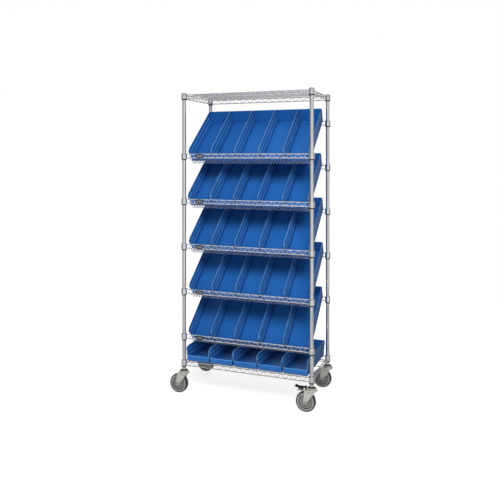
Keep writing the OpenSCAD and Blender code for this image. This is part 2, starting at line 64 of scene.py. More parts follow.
# Shelf wires
TRUSS_R, TRUSS_GAP = 3.0, 26.0
SNAKE_R, SNAKE_HALF, SNAKE_BEND = 1.8, 28.5, 6.0
DECK_R, DECK_HALF, DECK_WIRES = 2.0, 405.06, 43
ROD_R, ROD_DROP, FLAT_RODS, SLOPE_RODS = 2.5, 3.0, 3, 2
FLAT_TRUSS_Z, SLOPE_TRUSS_Z, FLAT_DECK_Z = 5.0, 10.5, 34.5
VALLEY_Y, VALLEY_Z, BEND_R, WELD_LIFT, WELD = -144.9, -28.0, 10.0, 3.5, 1.0
BADGE_X, BADGE_L, BADGE_H, BADGE_T, BADGE_FRONT = -328.56, 54.0, 28.0, 3.0, -219.42

# Bins
BIN_W, BIN_L, BIN_H, BIN_WALL, BIN_STEP = 167.0, 454.0, 102.0, 2.5, 2.75
BIN_LIP, BIN_MID, BIN_CORNER_DROP, BIN_CORNER_RUN = 40.0, 70.0, 10.0, 24.0
BIN_COLS, BIN_PITCH, BIN_FRONT, BIN_SEAT, BIN_FLAT_Z = 5, 169.2, 14.0, 2.6, 219.1
BIN_FOOT_BACK, BIN_FOOT_H, BIN_EDGE = 13.0, 12.0, 0.9
ROW_SHIFT = (-3.0, -8.5, 0.0, 2.0, -3.0, 0.0)

# Casters and brake
TRAIL, WHEEL_R, TREAD_IN_R = 37.5, 63.5, 55.45
CROWN_Z, FORK_T, FORK_HALF = 133.0, 3.0, 23.0
HEAD_R, HEAD_TOP, HEAD_X = 35.0, 146.5, 25.4
LEG_HALF, LEG_CORNER_R, LEG_LEAN, SHOULDER_R = 12.5, 4.0, 8.0, 7.0
PANEL_Z, PANEL_DROP, PANEL_BACK, PANEL_FRONT = 82.0, 9.0, 10.0, 9.0
PANEL_SLANT, PANEL_RISE = 2.4, 1.5
PLATE_Z, PLATE_R, KINGPIN_R, STEM_R, STEM_TOP = 148.5, 30.0, 6.0, 8.5, 224.0
SHOULDER_Z, NECK_R, STEM_Z = 154.5, 10.7, 158.0
SKIRT_R, SKIRT_RIM = 24.0, 2.0
PIVOT_BACK, PIVOT_Z, PIVOT_R, EAR_R = 42.0, 148.0, 3.0, 7.0
BRAKE_REACH, WINDOW_BACK, WINDOW_L, WINDOW_HALF = 88.0, 2.0, 18.0, 10.0
PEDAL_REACH, PEDAL_HALF, PEDAL_TIP, PEDAL_LIFT = 108.0, 17.0, 22.0, 6.0
PAD_RIB_Z, PAD_RIB_R, TIP_RIB_R, RIB_INSET = 3.6, 0.9, 1.1, 3.0
SHEET_EDGE, PLATE_EDGE, PEDAL_EDGE, SHOE_EDGE = 0.5, 0.6, 0.9, 0.8


# Finishes

def colour_ramp(nodes, links, fac, stops):
    """A ramp through (place, colour) stops, driven by a factor."""
    node = nodes.new("ShaderNodeValToRGB")
    elements = node.color_ramp.elements
    while len(elements) < len(stops):
        elements.new(0.5)
    for element, (place, colour) in zip(elements, stops):
        element.position = place
        element.color = (*colour, 1)
    links.new(fac, node.inputs["Fac"])
    return node.outputs["Color"]


class Finish:
    """A material whose Principled node is fed by noise in the object's own coordinates."""

    def __init__(self, name, base, metallic, rough, specular=0.5):
        self.mat = bpy.data.materials.new(name)
        self.mat.use_nodes = True
        self.mat.diffuse_color = (*base, 1)
        self.nodes, self.links = self.mat.node_tree.nodes, self.mat.node_tree.links
        self.bsdf = self.nodes["Principled BSDF"]
        self.bsdf.inputs["Base Color"].default_value = (*base, 1)
        self.bsdf.inputs["Metallic"].default_value = metallic
        self.bsdf.inputs["Roughness"].default_value = rough
        self.bsdf.inputs["Specular IOR Level"].default_value = specular
        self.coords = self.nodes.new("ShaderNodeTexCoord").outputs["Object"]

    def feed(self, socket, value):
        self.links.new(value, self.bsdf.inputs[socket])

    def noise(self, scale, detail, stretch=None):
        source = self.coords
        if stretch:
            mapping = self.nodes.new("ShaderNodeMapping")
            mapping.inputs["Scale"].default_value = stretch
            self.links.new(self.coords, mapping.inputs["Vector"])
            source = mapping.outputs["Vector"]
        node = self.nodes.new("ShaderNodeTexNoise")
        node.inputs["Scale"].default_value = scale
        node.inputs["Detail"].default_value = detail
        self.links.new(source, node.inputs["Vector"])
        return node.outputs["Fac"]

    def spread(self, fac, low, high, start=0.3, end=0.7):
        """Maps a factor from its start and end to a low and a high value."""
        node = self.nodes.new("ShaderNodeMapRange")
        node.inputs["From Min"].default_value = start
        node.inputs["From Max"].default_value = end
        node.inputs["To Min"].default_value = low
        node.inputs["To Max"].default_value = high
        self.links.new(fac, node.inputs["Value"])
        return node.outputs["Result"]

    def mottle(self, scale, detail, stops, stretch=None):
        """Lets the colour wander between the stops."""
        fac = self.noise(scale, detail, stretch)
        self.feed("Base Color", colour_ramp(self.nodes, self.links, fac, stops))

    def gloss(self, scale, detail, smooth, rough):
        """Lets the gloss wander between a smooth and a rough level."""
        self.feed("Roughness", self.spread(self.noise(scale, detail), smooth, rough))

    def grain(self, scale, detail, strength, depth):
        """Gives the surface a fine unevenness."""
        node = self.nodes.new("ShaderNodeBump")
        node.inputs["Strength"].default_value = strength
        node.inputs["Distance"].default_value = depth
        self.links.new(self.noise(scale, detail), node.inputs["Height"])
        self.feed("Normal", node.outputs["Normal"])


def plated_chrome(name, low, high, metallic, smooth, rough):
    plate = Finish(name, high, metallic, smooth)
    plate.mottle(14.0, 4.0, [(0.3, low), (0.75, high)])
    plate.gloss(90.0, 5.0, smooth, rough)
    plate.grain(420.0, 2.0, 0.06, 0.0004)
    return plate.mat


def moulded_blue(name, low, mid, high, rough):
    plastic = Finish(name, mid, 0.0, rough, 0.3)
    plastic.mottle(5.0, 3.0, [(0.25, low), (0.5, mid), (0.78, high)], stretch=(1.0, 0.35, 1.0))
    plastic.gloss(160.0, 4.0, rough - 0.06, rough + 0.08)
    plastic.grain(900.0, 2.0, 0.12, 0.0003)
    return plastic.mat


def black_plastic(name, base, rough):
    plastic = Finish(name, base, 0.0, rough, 0.3)
    dusty = tuple(0.006 + 1.4 * c for c in base)
    plastic.mottle(60.0, 4.0, [(0.35, base), (0.8, dusty)])
    plastic.gloss(240.0, 3.0, rough - 0.08, rough + 0.12)
    plastic.grain(1500.0, 2.0, 0.15, 0.0002)
    return plastic.mat


def zinc_plate(name, low, mid, high):
    zinc = Finish(name, mid, 0.4, 0.38)
    zinc.mottle(70.0, 5.0, [(0.3, low), (0.55, mid), (0.8, high)])
    zinc.gloss(150.0, 4.0, 0.3, 0.48)
    zinc.grain(600.0, 3.0, 0.10, 0.0003)
    return zinc.mat


def turned_steel(name, low, base, high):
    steel = Finish(name, base, 1.0, 0.28)
    steel.mottle(220.0, 3.0, [(0.3, low), (0.75, high)])
    steel.gloss(400.0, 3.0, 0.2, 0.38)
    steel.grain(1800.0, 2.0, 0.08, 0.0002)
    return steel.mat


def matte_grey(name, low, high, rough):
    grey = Finish(name, high, 0.0, rough, 0.35)
    grey.mottle(85.0, 4.0, [(0.3, low), (0.75, high)])
    grey.gloss(300.0, 3.0, rough - 0.08, rough + 0.1)
    grey.grain(1100.0, 3.0, 0.14, 0.0002)
    return grey.mat


CHROME = plated_chrome("chrome", (0.68, 0.685, 0.70), (0.80, 0.805, 0.82), 1.0, 0.06, 0.14)
WIRE_CHROME = plated_chrome("wire_chrome", (0.47, 0.475, 0.49), (0.58, 0.585, 0.60), 0.7, 0.2, 0.34)
# Painted reflection: the sloping shelves' chrome is tinted blue, standing in for the blue bins it reflects.
SLOPE_CHROME_BLUE_REFLECTION = plated_chrome("slope_chrome_painted_blue_reflection", (0.53, 0.555, 0.615), (0.64, 0.665, 0.725), 0.6, 0.2, 0.34)
BLUE = moulded_blue("bin_blue", (0.013, 0.102, 0.34), (0.016, 0.112, 0.37), (0.019, 0.124, 0.405), 0.42)
# Painted highlight: a lighter, glossier blue for the bins' rims, ledges and rounded edges.
BLUE_PAINTED_HIGHLIGHT = moulded_blue(
    "bin_blue_edge", (0.13, 0.32, 0.65), (0.155, 0.35, 0.69), (0.18, 0.38, 0.73), 0.32)
BLACK = black_plastic("black_plastic", (0.008, 0.008, 0.009), 0.45)
PEDAL_BLACK = black_plastic("black_pedal", (0.008, 0.008, 0.008), 0.42)
ZINC = zinc_plate("zinc", (0.50, 0.50, 0.455), (0.57, 0.57, 0.52), (0.64, 0.635, 0.58))
STEEL = turned_steel("bright_steel", (0.47, 0.47, 0.46), (0.56, 0.56, 0.55), (0.62, 0.62, 0.61))
CORE_GREY = matte_grey("wheel_core", (0.155, 0.155, 0.152), (0.20, 0.20, 0.194), 0.45)
RIM_GREY = matte_grey("wheel_rim", (0.22, 0.22, 0.215), (0.275, 0.275, 0.268), 0.45)
# The tread's own dark grey, also used as painted shade on the step below each wheel's rim.
TREAD_AND_PAINTED_SHADE_GREY = matte_grey("wheel_tread_and_painted_shade", (0.042, 0.042, 0.042), (0.062, 0.062, 0.061), 0.62)
BADGE_GREY = matte_grey("badge_grey", (0.10, 0.105, 0.112), (0.145, 0.15, 0.157), 0.4)


# Shaping helpers, in millimetres

def verts_of(geom):
    return [g for g in geom if isinstance(g, bmesh.types.BMVert)]


def edges_of(geom):
    return [g for g in geom if isinstance(g, bmesh.types.BMEdge)]


def faces_of(geom):
    return [g for g in geom if isinstance(g, bmesh.types.BMFace)]


def all_of(bm):
    return bm.verts[:] + bm.edges[:] + bm.faces[:]


def outline(bm, points, closed=True):
    """Vertices at a few points, joined in turn by edges."""
    verts = [bm.verts.new(p) for p in points]
    ends = verts[1:] + verts[:1] if closed else verts[1:]
    return verts, [bm.edges.new(pair) for pair in zip(verts, ends)]


def arc(centre, radius, start, end, steps):
    """Points (x, y) along an arc, its angles in degrees."""
    turns = [math.radians(start + (end - start) * k / steps) for k in range(steps + 1)]
    return [(centre[0] + radius * math.cos(a), centre[1] + radius * math.sin(a)) for a in turns]


def turned(bm, profile, centre, axis=UP, steps=48, closed=True):
    """Turns an outline of (radius, height) points once round an axis. An open one starts and ends on it."""
    centre = Vector(centre)
    verts, edges = outline(bm, [centre + RIGHT * r + axis * h for r, h in profile], closed)
    bmesh.ops.spin(bm, geom=verts + edges, cent=centre, axis=axis, angle=2 * math.pi, steps=steps,
                   use_merge=True)
    if not closed:
        on_axis = [v for v in bm.verts if (v.co - centre).cross(axis).length < 1e-3]
        bmesh.ops.remove_doubles(bm, verts=on_axis, dist=1e-3)


def slab(bm, points, push):
    """A flat outline made solid by pushing it along a vector."""
    face = bm.faces.new([bm.verts.new(p) for p in points])
    geom = bmesh.ops.extrude_face_region(bm, geom=[face])["geom"]
    bmesh.ops.translate(bm, verts=verts_of(geom), vec=push)


def soften(bm, width, segments=2, edges=None, angle=25):
    """Rounds the given edges, or all that turn by more than an angle. Returns the new faces."""
    if edges is None:
        bm.normal_update()
        edges = [e for e in bm.edges if e.is_manifold and e.calc_face_angle() > math.radians(angle)]
    return bmesh.ops.bevel(bm, geom=edges, offset=width, offset_type="OFFSET", segments=segments, profile=0.5,
                           affect="EDGES", clamp_overlap=True, material=-1)["faces"]


def cut(bm, geom, point, normal, clear=False):
    """Cuts along a plane, and can clear away what lies beyond it."""
    bmesh.ops.bisect_plane(bm, geom=geom, dist=1e-4, plane_co=point, plane_no=normal, clear_outer=clear)


def rod(bm, start, end, r, sides=10):
    """A straight round wire with its end edges broken."""
    start, end = Vector(start), Vector(end)
    along = end - start
    place = Matrix.Translation((start + end) / 2) @ along.to_track_quat("Z", "Y").to_matrix().to_4x4()
    verts = bmesh.ops.create_cone(bm, cap_ends=True, segments=sides, radius1=r, radius2=r, depth=along.length,
                                  matrix=place)["verts"]
    caps = dict.fromkeys(f for v in verts for f in v.link_faces if len(f.verts) == sides)
    soften(bm, 0.3 * r, 1, [e for cap in caps for e in cap.edges])


def bent_wire(bm, corners, r, axis, bend_r, sides=8, steps=4):
    """A round wire through corners in one plane, bent at each inner corner about the plane's normal."""
    path, axis = [Vector(c) for c in corners], Vector(axis)
    heading = path[1] - path[0]
    start = Matrix.Translation(path[0]) @ heading.to_track_quat("Z", "Y").to_matrix().to_4x4()
    ring = bmesh.ops.create_circle(bm, radius=r, segments=sides, matrix=start)["verts"]
    edges = list(dict.fromkeys(e for v in ring for e in v.link_edges))
    first, here = list(edges), path[0]

    def straight(edges, to):
        geom = bmesh.ops.extrude_edge_only(bm, edges=edges)["geom"]
        bmesh.ops.translate(bm, verts=verts_of(geom), vec=to - here)
        ends = set(verts_of(geom))
        return [e for e in edges_of(geom) if set(e.verts) <= ends]

    for before, corner, after in zip(path, path[1:], path[2:]):
        coming, going = (corner - before).normalized(), (after - corner).normalized()
        turn = math.atan2(axis.dot(coming.cross(going)), coming.dot(going))
        inward = axis.cross(coming) * math.copysign(bend_r, turn)
        tangent = bend_r * math.tan(abs(turn) / 2)
        bend = corner - coming * tangent
        edges = straight(edges, bend)
        geom = list(dict.fromkeys(v for e in edges for v in e.verts)) + edges
        bent = bmesh.ops.spin(bm, geom=geom, cent=bend + inward, axis=axis, angle=turn, steps=steps)
        edges = edges_of(bent["geom_last"])
        here = corner + going * tangent
    last = straight(edges, path[-1])
    bmesh.ops.edgeloop_fill(bm, edges=first)
    bmesh.ops.edgeloop_fill(bm, edges=last)


def add_part(bm, part):
    """Adds a part that was shaped by itself to a piece."""
    mesh = bpy.data.meshes.new("part")
    part.to_mesh(mesh)
    part.free()
    bm.from_mesh(mesh)
    bpy.data.meshes.remove(mesh)


def piece(name, bm, mats, body, nodes, sharp=30):
    """Turns the millimetre bmesh into an object in metres that rides on a body and stands for CAD nodes."""
    bmesh.ops.recalc_face_normals(bm, faces=bm.faces)
    bm.transform(Matrix.Scale(MM, 4))
    mesh = bpy.data.meshes.new(name)
    bm.to_mesh(mesh)
    bm.free()
    mesh.shade_smooth()
    mesh.set_sharp_from_angle(angle=math.radians(sharp))
    for mat in mats:
        mesh.materials.append(mat)
    obj = bpy.data.objects.new(name, mesh)
    scene.collection.objects.link(obj)
    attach(obj, body)
    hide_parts(*nodes)


def post_at(corner, z=0.0):
    return Vector((CORNERS[corner][0] * POST_X, CORNERS[corner][1] * POST_Y, z))


def ring_heights(corner):
    """Where the shelves' sleeves sit on one post."""
    rise = REAR_RISE if CORNERS[corner][1] > 0 else 0.0
    return [FIRST_RING, TOP_RING] + [z + rise for z in SLOPE_RINGS]


# Posts, caps and sleeves

def make_post(corner):
    """A grooved tube, turned from its side outline."""
    bm = bmesh.new()
    bead = FIRST_RING + (SLEEVE_Z + SLEEVE_TOP) / 2
    count = int((POST_TOP - GROOVE_W - bead) / GROOVE_PITCH)
    bore = POST_R - POST_WALL
    profile = [(bore, POST_Z), (POST_R - GROOVE_DEPTH, POST_Z), (POST_R, POST_Z + GROOVE_DEPTH)]
    for k in range(-1, count + 1):
        z = bead + k * GROOVE_PITCH
        if z > POST_Z + GROOVE_W:
            profile += [(POST_R, z - GROOVE_W / 2), (POST_R - GROOVE_DEPTH, z - GROOVE_W / 4),
                        (POST_R - GROOVE_DEPTH, z + GROOVE_W / 4), (POST_R, z + GROOVE_W / 2)]
    profile += [(POST_R, POST_TOP), (bore, POST_TOP)]
    turned(bm, profile, post_at(corner), steps=32)
    piece("chrome_post_" + corner, bm, [CHROME], "frame", ["post_" + corner])


def make_caps():
    """A low dome over each post, on a plug inside the tube."""
    bm = bmesh.new()
    dome_r = (POST_R ** 2 + CAP_H ** 2) / (2 * CAP_H)
    dome_deg = math.degrees(math.asin(POST_R / dome_r))
    lip, dome_share = 0.15, 0.95
    dome = arc((0, CAP_H - dome_r), dome_r, 90 - dome_share * dome_deg, 90, 9)
    plug = [(0, -CAP_PLUG), (PLUG_R, -CAP_PLUG), (PLUG_R, lip), (POST_R - 2 * lip, lip)]
    profile = plug + dome[:-1] + [(0, CAP_H)]
    for corner in CORNERS:
        turned(bm, profile, post_at(corner, POST_TOP), steps=40, closed=False)
    piece("domed_post_caps", bm, [CHROME], "frame", ["post_caps"])


def make_sleeves():
    """Tapered half sleeves, two at each shelf corner with a slit between them."""
    bm = bmesh.new()
    edge = 0.5
    profile = [(SLEEVE_IN_R, SLEEVE_Z + edge), (SLEEVE_IN_R + edge, SLEEVE_Z),
               (SLEEVE_LOW_R - edge, SLEEVE_Z), (SLEEVE_LOW_R, SLEEVE_Z + edge),
               (SLEEVE_HIGH_R, SLEEVE_TOP), (SLEEVE_IN_R, SLEEVE_TOP)]
    slit = SLEEVE_SLIT / SLEEVE_IN_R
    for corner in CORNERS:
        for z in ring_heights(corner):
            centre = post_at(corner, z)
            for half in (0.0, math.pi):
                side = Matrix.Rotation(half + slit / 2, 3, "Z") @ RIGHT
                face = bm.faces.new([bm.verts.new(centre + side * r + UP * h) for r, h in profile])
                bmesh.ops.spin(bm, geom=[face] + face.edges[:] + face.verts[:], cent=centre, axis=UP,
                               angle=math.pi - slit, steps=18)
    piece("black_split_sleeves", bm, [BLACK], "frame", ["split_sleeves"])


# Wire shelves

def add_collar(bm, centre):
    """A ring with a tapered bore, wedged over its sleeve."""
    taper = (SLEEVE_LOW_R - SLEEVE_HIGH_R) / (SLEEVE_TOP - SLEEVE_Z)
    low, high = [SLEEVE_LOW_R + FIT - taper * (h - SLEEVE_Z) for h in (COLLAR_Z, COLLAR_TOP)]
    edge, wires = 0.8, len(bm.faces)
    turned(bm, [(low, COLLAR_Z + edge), (low + edge, COLLAR_Z), (COLLAR_R - edge, COLLAR_Z),
                (COLLAR_R, COLLAR_Z + edge), (COLLAR_R, COLLAR_TOP - 2 * edge),
                (COLLAR_R - edge / 2, COLLAR_TOP - edge / 2), (COLLAR_R - 1.5 * edge, COLLAR_TOP),
                (high + edge, COLLAR_TOP), (high, COLLAR_TOP - edge)], centre, steps=40)
    bm.faces.ensure_lookup_table()
    for face in bm.faces[wires:]:
        face.material_index = 1


def add_truss(bm, middle, along, half_span, z):
    """Two long wires with a zigzag wire between them, through a middle point, from collar to collar."""
    middle = Vector(middle) + UP * z
    reach = along * (half_span - COLLAR_R + WELD)
    for lift in (UP * 0, UP * TRUSS_GAP):
        rod(bm, middle - reach + lift, middle + reach + lift, TRUSS_R, 12)
    halves = int((2 * half_span - 2 * COLLAR_R - 2 * SNAKE_R) / SNAKE_HALF)
    corners = [middle + along * (k - halves / 2) * SNAKE_HALF + UP * (k % 2) * TRUSS_GAP
               for k in range(halves + 1)]
    bent_wire(bm, corners, SNAKE_R, along.cross(UP), SNAKE_BEND)


def deck_places():
    """The deck wires' places from left to right."""
    return [DECK_HALF * (2 * k / (DECK_WIRES - 1) - 1) for k in range(DECK_WIRES)]


def flat_shelf():
    """A level wire deck with trusses on all four sides, its sleeve rings at z = 0."""
    bm = bmesh.new()
    for corner in CORNERS:
        add_collar(bm, post_at(corner))
    for side in (-1, 1):
        add_truss(bm, BACK * side * POST_Y, RIGHT, POST_X, FLAT_TRUSS_Z)
        add_truss(bm, RIGHT * side * POST_X, BACK, POST_Y, FLAT_TRUSS_Z)
    for x in deck_places():
        middle, reach = Vector((x, 0, FLAT_DECK_Z)), BACK * (POST_Y + TRUSS_R)
        rod(bm, middle - reach, middle + reach, DECK_R)
    for k in range(FLAT_RODS):
        middle = Vector((0, POST_Y * (2 * (k + 1) / (FLAT_RODS + 1) - 1), FLAT_DECK_Z - ROD_DROP))
        rod(bm, middle - RIGHT * (POST_X - WELD), middle + RIGHT * (POST_X - WELD), ROD_R)
    return bm


def welded_wire(dy, dz):
    """Slope and length of a straight deck wire from the valley to its weld over a truss wire."""
    span = math.hypot(dy, dz)
    return math.atan2(dz, dy) + math.asin(WELD_LIFT / span), math.sqrt(span ** 2 - WELD_LIFT ** 2) + TRUSS_R


SLOPE, RUN_L = welded_wire(POST_Y - VALLEY_Y, REAR_RISE + SLOPE_TRUSS_Z + TRUSS_GAP - VALLEY_Z)
LEG, LEG_L = welded_wire(VALLEY_Y + POST_Y, SLOPE_TRUSS_Z - VALLEY_Z)


def sloping_shelf():
    """A bent wire deck between a low front truss and a high rear one, its front sleeve rings at z = 0."""
    bm = bmesh.new()
    for corner in CORNERS:
        add_collar(bm, post_at(corner, REAR_RISE if CORNERS[corner][1] > 0 else 0.0))
    add_truss(bm, -BACK * POST_Y, RIGHT, POST_X, SLOPE_TRUSS_Z)
    add_truss(bm, BACK * POST_Y + UP * REAR_RISE, RIGHT, POST_X, SLOPE_TRUSS_Z)
    run = Matrix.Rotation(SLOPE, 3, "X") @ BACK
    leg = Matrix.Rotation(-LEG, 3, "X") @ -BACK
    lift = Matrix.Rotation(SLOPE, 3, "X") @ UP
    valley = Vector((0, VALLEY_Y, VALLEY_Z))
    for x in deck_places():
        foot = valley + RIGHT * x
        bent_wire(bm, [foot + leg * LEG_L, foot, foot + run * RUN_L], DECK_R, RIGHT, BEND_R, 10, 6)
    for k in range(SLOPE_RODS):
        middle = valley + run * (k + 1) * RUN_L / (SLOPE_RODS + 1) - lift * ROD_DROP
        reach = RIGHT * (DECK_HALF + DECK_R + WELD)
        rod(bm, middle - reach, middle + reach, ROD_R)
    return bm


def make_shelves():
    """Two flat and five sloping shelves, copied from one of each."""
    flat, sloping = flat_shelf(), sloping_shelf()
    shelves = [("top_shelf", flat, TOP_RING, WIRE_CHROME), ("bottom_shelf", flat, FIRST_RING, WIRE_CHROME)]
    shelves += [("sloping_shelf_%d" % (k + 1), sloping, ring, SLOPE_CHROME_BLUE_REFLECTION)
                for k, ring in enumerate(SLOPE_RINGS)]
    for node, shape, ring, plating in shelves:
        bm = shape.copy()
        bmesh.ops.translate(bm, verts=bm.verts, vec=UP * ring)
        piece("wire_" + node, bm, [plating, CHROME], "frame", [node])
    flat.free()
    sloping.free()


def make_badges():
    """Blank oval plates, each with a raised black rim round a slightly sunken grey face."""
    bm = bmesh.new()
    stretch, edge = (BADGE_L - BADGE_H) / 2, 0.5
    rim_w, step, crown_w, crown = 4.4, 0.8, 4.5, 0.3
    for ring in SLOPE_RINGS:
        middle = Vector((BADGE_X, BADGE_FRONT, ring + SLOPE_TRUSS_Z + TRUSS_GAP / 2))
        facing = Matrix.Translation(middle) @ Matrix.Rotation(math.pi / 2, 4, "X")
        oval = bmesh.ops.create_circle(bm, cap_ends=True, segments=40, radius=BADGE_H / 2,
                                       matrix=facing)["verts"]
        for side in (-1, 1):
            ends = [v for v in oval if side * (v.co.x - BADGE_X) > edge]
            bmesh.ops.translate(bm, verts=ends, vec=RIGHT * side * stretch)
        geom = bmesh.ops.extrude_face_region(bm, geom=oval[0].link_faces[:])["geom"]
        bmesh.ops.translate(bm, verts=verts_of(geom), vec=-BACK * (BADGE_T - edge))
        face = faces_of(geom)[0]
        bm.normal_update()
        if face.normal.y > 0:
            face.normal_flip()
        bmesh.ops.inset_region(bm, faces=[face], thickness=edge, depth=edge)
        bmesh.ops.inset_region(bm, faces=[face], thickness=rim_w, depth=0)
        bmesh.ops.inset_region(bm, faces=[face], thickness=step, depth=-step)
        domed = bmesh.ops.inset_region(bm, faces=[face], thickness=crown_w, depth=crown)["faces"]
        for part in domed + [face]:
            part.material_index = 1
    piece("oval_badges", bm, [BLACK, BADGE_GREY], "frame", ["shelf_badges"])


# Bins

def bin_skin():
    """The outside of one bin, its front at y = 0: stepped sides, a slanted foot, open over the lip."""
    bm = bmesh.new()
    heights = (0.0, BIN_LIP, BIN_MID, BIN_H)
    halves = [BIN_W / 2 - BIN_STEP * k for k in (2, 1, 0)]
    right = [Vector((half, 0, z)) for k, half in enumerate(halves) for z in heights[k:k + 2]]
    left = [Vector((-p.x, 0, p.z)) for p in reversed(right)]
    front, edges = outline(bm, left + right, closed=False)
    rear = verts_of(bmesh.ops.extrude_edge_only(bm, edges=edges)["geom"])
    bmesh.ops.translate(bm, verts=rear, vec=BACK * BIN_L)
    bm.edges.new([v for v in rear if v.co.z > BIN_H - 1])
    bmesh.ops.edgeloop_fill(bm, edges=[e for e in bm.edges if all(v.co.y > BIN_L - 1 for v in e.verts)])
    bm.faces.new([v for v in front if v.co.z < BIN_LIP + 1 and abs(v.co.x) < halves[0] + 1])
    cut(bm, all_of(bm), UP * BIN_FOOT_H, UP)
    foot = [v for v in bm.verts if v.co.z < 1 and v.co.y < 1]
    bmesh.ops.translate(bm, verts=foot, vec=BACK * BIN_FOOT_BACK)
    cut(bm, all_of(bm), (0, 0, BIN_H - BIN_CORNER_DROP), (0, -BIN_CORNER_DROP, BIN_CORNER_RUN), clear=True)
    bmesh.ops.recalc_face_normals(bm, faces=bm.faces)
    # Painted highlight: the ledges' flat faces take the second, lighter blue.
    for face in bm.faces:
        face.material_index = int(abs(face.normal.z) > 0.9 and face.calc_center_median().z > 1)
    return bm


def finished_bin():
    """The skin thickened inwards to its wall, with soft edges in a slightly lighter blue, a painted
    highlight.
    """
    mesh = bpy.data.meshes.new("bin_form")
    skin = bin_skin()
    skin.to_mesh(mesh)
    skin.free()
    obj = bpy.data.objects.new("bin_form", mesh)
    scene.collection.objects.link(obj)
    wall = obj.modifiers.new("wall", "SOLIDIFY")
    wall.solidify_mode = "NON_MANIFOLD"
    wall.nonmanifold_thickness_mode = "CONSTRAINTS"
    wall.thickness = BIN_WALL
    wall.offset = -1
    # Painted highlight: the rims take the second, lighter blue.
    wall.material_offset_rim = 1
    bm = bmesh.new()
    bm.from_object(obj, bpy.context.evaluated_depsgraph_get())
    bpy.data.objects.remove(obj)
    bpy.data.meshes.remove(mesh)
    bmesh.ops.recalc_face_normals(bm, faces=bm.faces)
    edges = [e for e in bm.edges if e.is_convex and e.calc_face_angle() > math.radians(30)]
    # Painted highlight: the rounded edges take the lighter blue as well.
    for face in soften(bm, BIN_EDGE, 2, edges):
        face.material_index = 1
    return bm


def make_bins():
    """Five rows on the slopes and one on the bottom shelf, copied from one bin."""
    one = finished_bin()
    for row, shift in enumerate(ROW_SHIFT, 1):
        for col in range(1, BIN_COLS + 1):
            x = (col - (BIN_COLS + 1) / 2) * BIN_PITCH + shift
            if row <= SLOPES:
                valley = Matrix.Translation((x, VALLEY_Y, SLOPE_RINGS[row - 1] + VALLEY_Z))
                place = valley @ Matrix.Rotation(SLOPE, 4, "X") @ Matrix.Translation((0, BIN_FRONT, BIN_SEAT))
            else:
                place = Matrix.Translation((x, -BIN_L / 2, BIN_FLAT_Z))
            bm = one.copy()
            bm.transform(place)
            node = "bin_%d_%d" % (row, col)
            piece("moulded_" + node, bm, [BLUE, BLUE_PAINTED_HIGHLIGHT], node, [node], sharp=20)
    one.free()


# Casters

def make_stems():
    """Stem, shoulder, race plate and kingpin turned in one, and the black bushing with its dust skirt."""
    stems, bushings = bmesh.new(), bmesh.new()
    rivet_r, rivet_low, rivet_top, edge, round_r = 10.0, 128.6, 132.6, 1.5, 3.0
    stem = [(0, rivet_low), (rivet_r - edge, rivet_low), (rivet_r, rivet_low + edge), (rivet_r, rivet_top),
            (KINGPIN_R, rivet_top), (KINGPIN_R, PLATE_Z), (PLATE_R - edge, PLATE_Z),
            (PLATE_R, PLATE_Z + edge)]
    stem += arc((PLATE_R - edge - round_r, SHOULDER_Z - round_r), round_r, 0, 90, 5)[1:]
    stem += [(NECK_R, SHOULDER_Z), (NECK_R, STEM_Z), (STEM_R, STEM_Z), (STEM_R, STEM_TOP - edge),
             (STEM_R - edge, STEM_TOP), (0, STEM_TOP)]
    skirt_z, soft = SHOULDER_Z + FIT, 0.5
    bushing = [(STEM_R + FIT, STEM_Z), (NECK_R + FIT, STEM_Z), (NECK_R + FIT, skirt_z),
               (SKIRT_R - soft, skirt_z), (SKIRT_R, skirt_z + soft), (SKIRT_R, skirt_z + SKIRT_RIM - soft),
               (SKIRT_R - 2 * soft, skirt_z + SKIRT_RIM), (POST_R, POST_Z), (PLUG_R, POST_Z),
               (PLUG_R, STEM_TOP), (STEM_R + FIT, STEM_TOP)]
    for corner in CORNERS:
        turned(stems, stem, post_at(corner), closed=False)
        turned(bushings, bushing, post_at(corner))
    piece("turned_caster_stems", stems, [ZINC], "frame", ["caster_stems"])
    piece("black_stem_bushings", bushings, [BLACK], "frame", ["stem_bushings"])


def fork_sheet():
    """Two legs and a crown bent from one sheet, with blunt feet and a raised panel pressed in each leg."""
    bm = bmesh.new()
    back, front = -TRAIL - LEG_HALF, -TRAIL + LEG_HALF
    foot, top = WHEEL_R - LEG_HALF, CROWN_Z + FORK_T
    side = [(back + LEG_LEAN, top), (back, WHEEL_R), (back, foot), (front, foot), (front, WHEEL_R),
            (HEAD_X, CROWN_Z), (HEAD_X, top)]
    legs = [[bm.verts.new((x, y, z)) for x, z in side] for y in (-FORK_HALF, FORK_HALF)]
    for leg in legs:
        bm.faces.new(leg)
    bm.faces.new((legs[0][0], legs[0][-1], legs[1][-1], legs[1][0]))
    bmesh.ops.recalc_face_normals(bm, faces=bm.faces)
    shoulders = [bm.edges.get((leg[0], leg[-1])) for leg in legs]
    feet = [v for leg in legs for v in leg[2:4]]
    bmesh.ops.bevel(bm, geom=feet, offset=LEG_CORNER_R, segments=5, profile=0.5, affect="VERTICES",
                    material=-1)
    bmesh.ops.bevel(bm, geom=shoulders, offset=SHOULDER_R, segments=6, profile=0.5, affect="EDGES",
                    material=-1)
    low, high, left, right = PANEL_Z, CROWN_Z - PANEL_DROP, back + PANEL_BACK, PANEL_FRONT - TRAIL
    for point, normal in ((UP * low, UP), (UP * high, UP), (RIGHT * left, RIGHT), (RIGHT * right, RIGHT)):
        flat = [f for f in bm.faces if abs(f.normal.y) > 0.99]
        parts = list(dict.fromkeys(g for f in flat for g in f.verts[:] + f.edges[:])) + flat
        cut(bm, parts, point, normal)
    panels = [f for f in bm.faces if abs(f.normal.y) > 0.99 and low < f.calc_center_median().z < high
              and left < f.calc_center_median().x < right]
    bmesh.ops.inset_region(bm, faces=panels, thickness=PANEL_SLANT, depth=PANEL_RISE)
    bmesh.ops.solidify(bm, geom=bm.faces[:], thickness=FORK_T)
    return bm


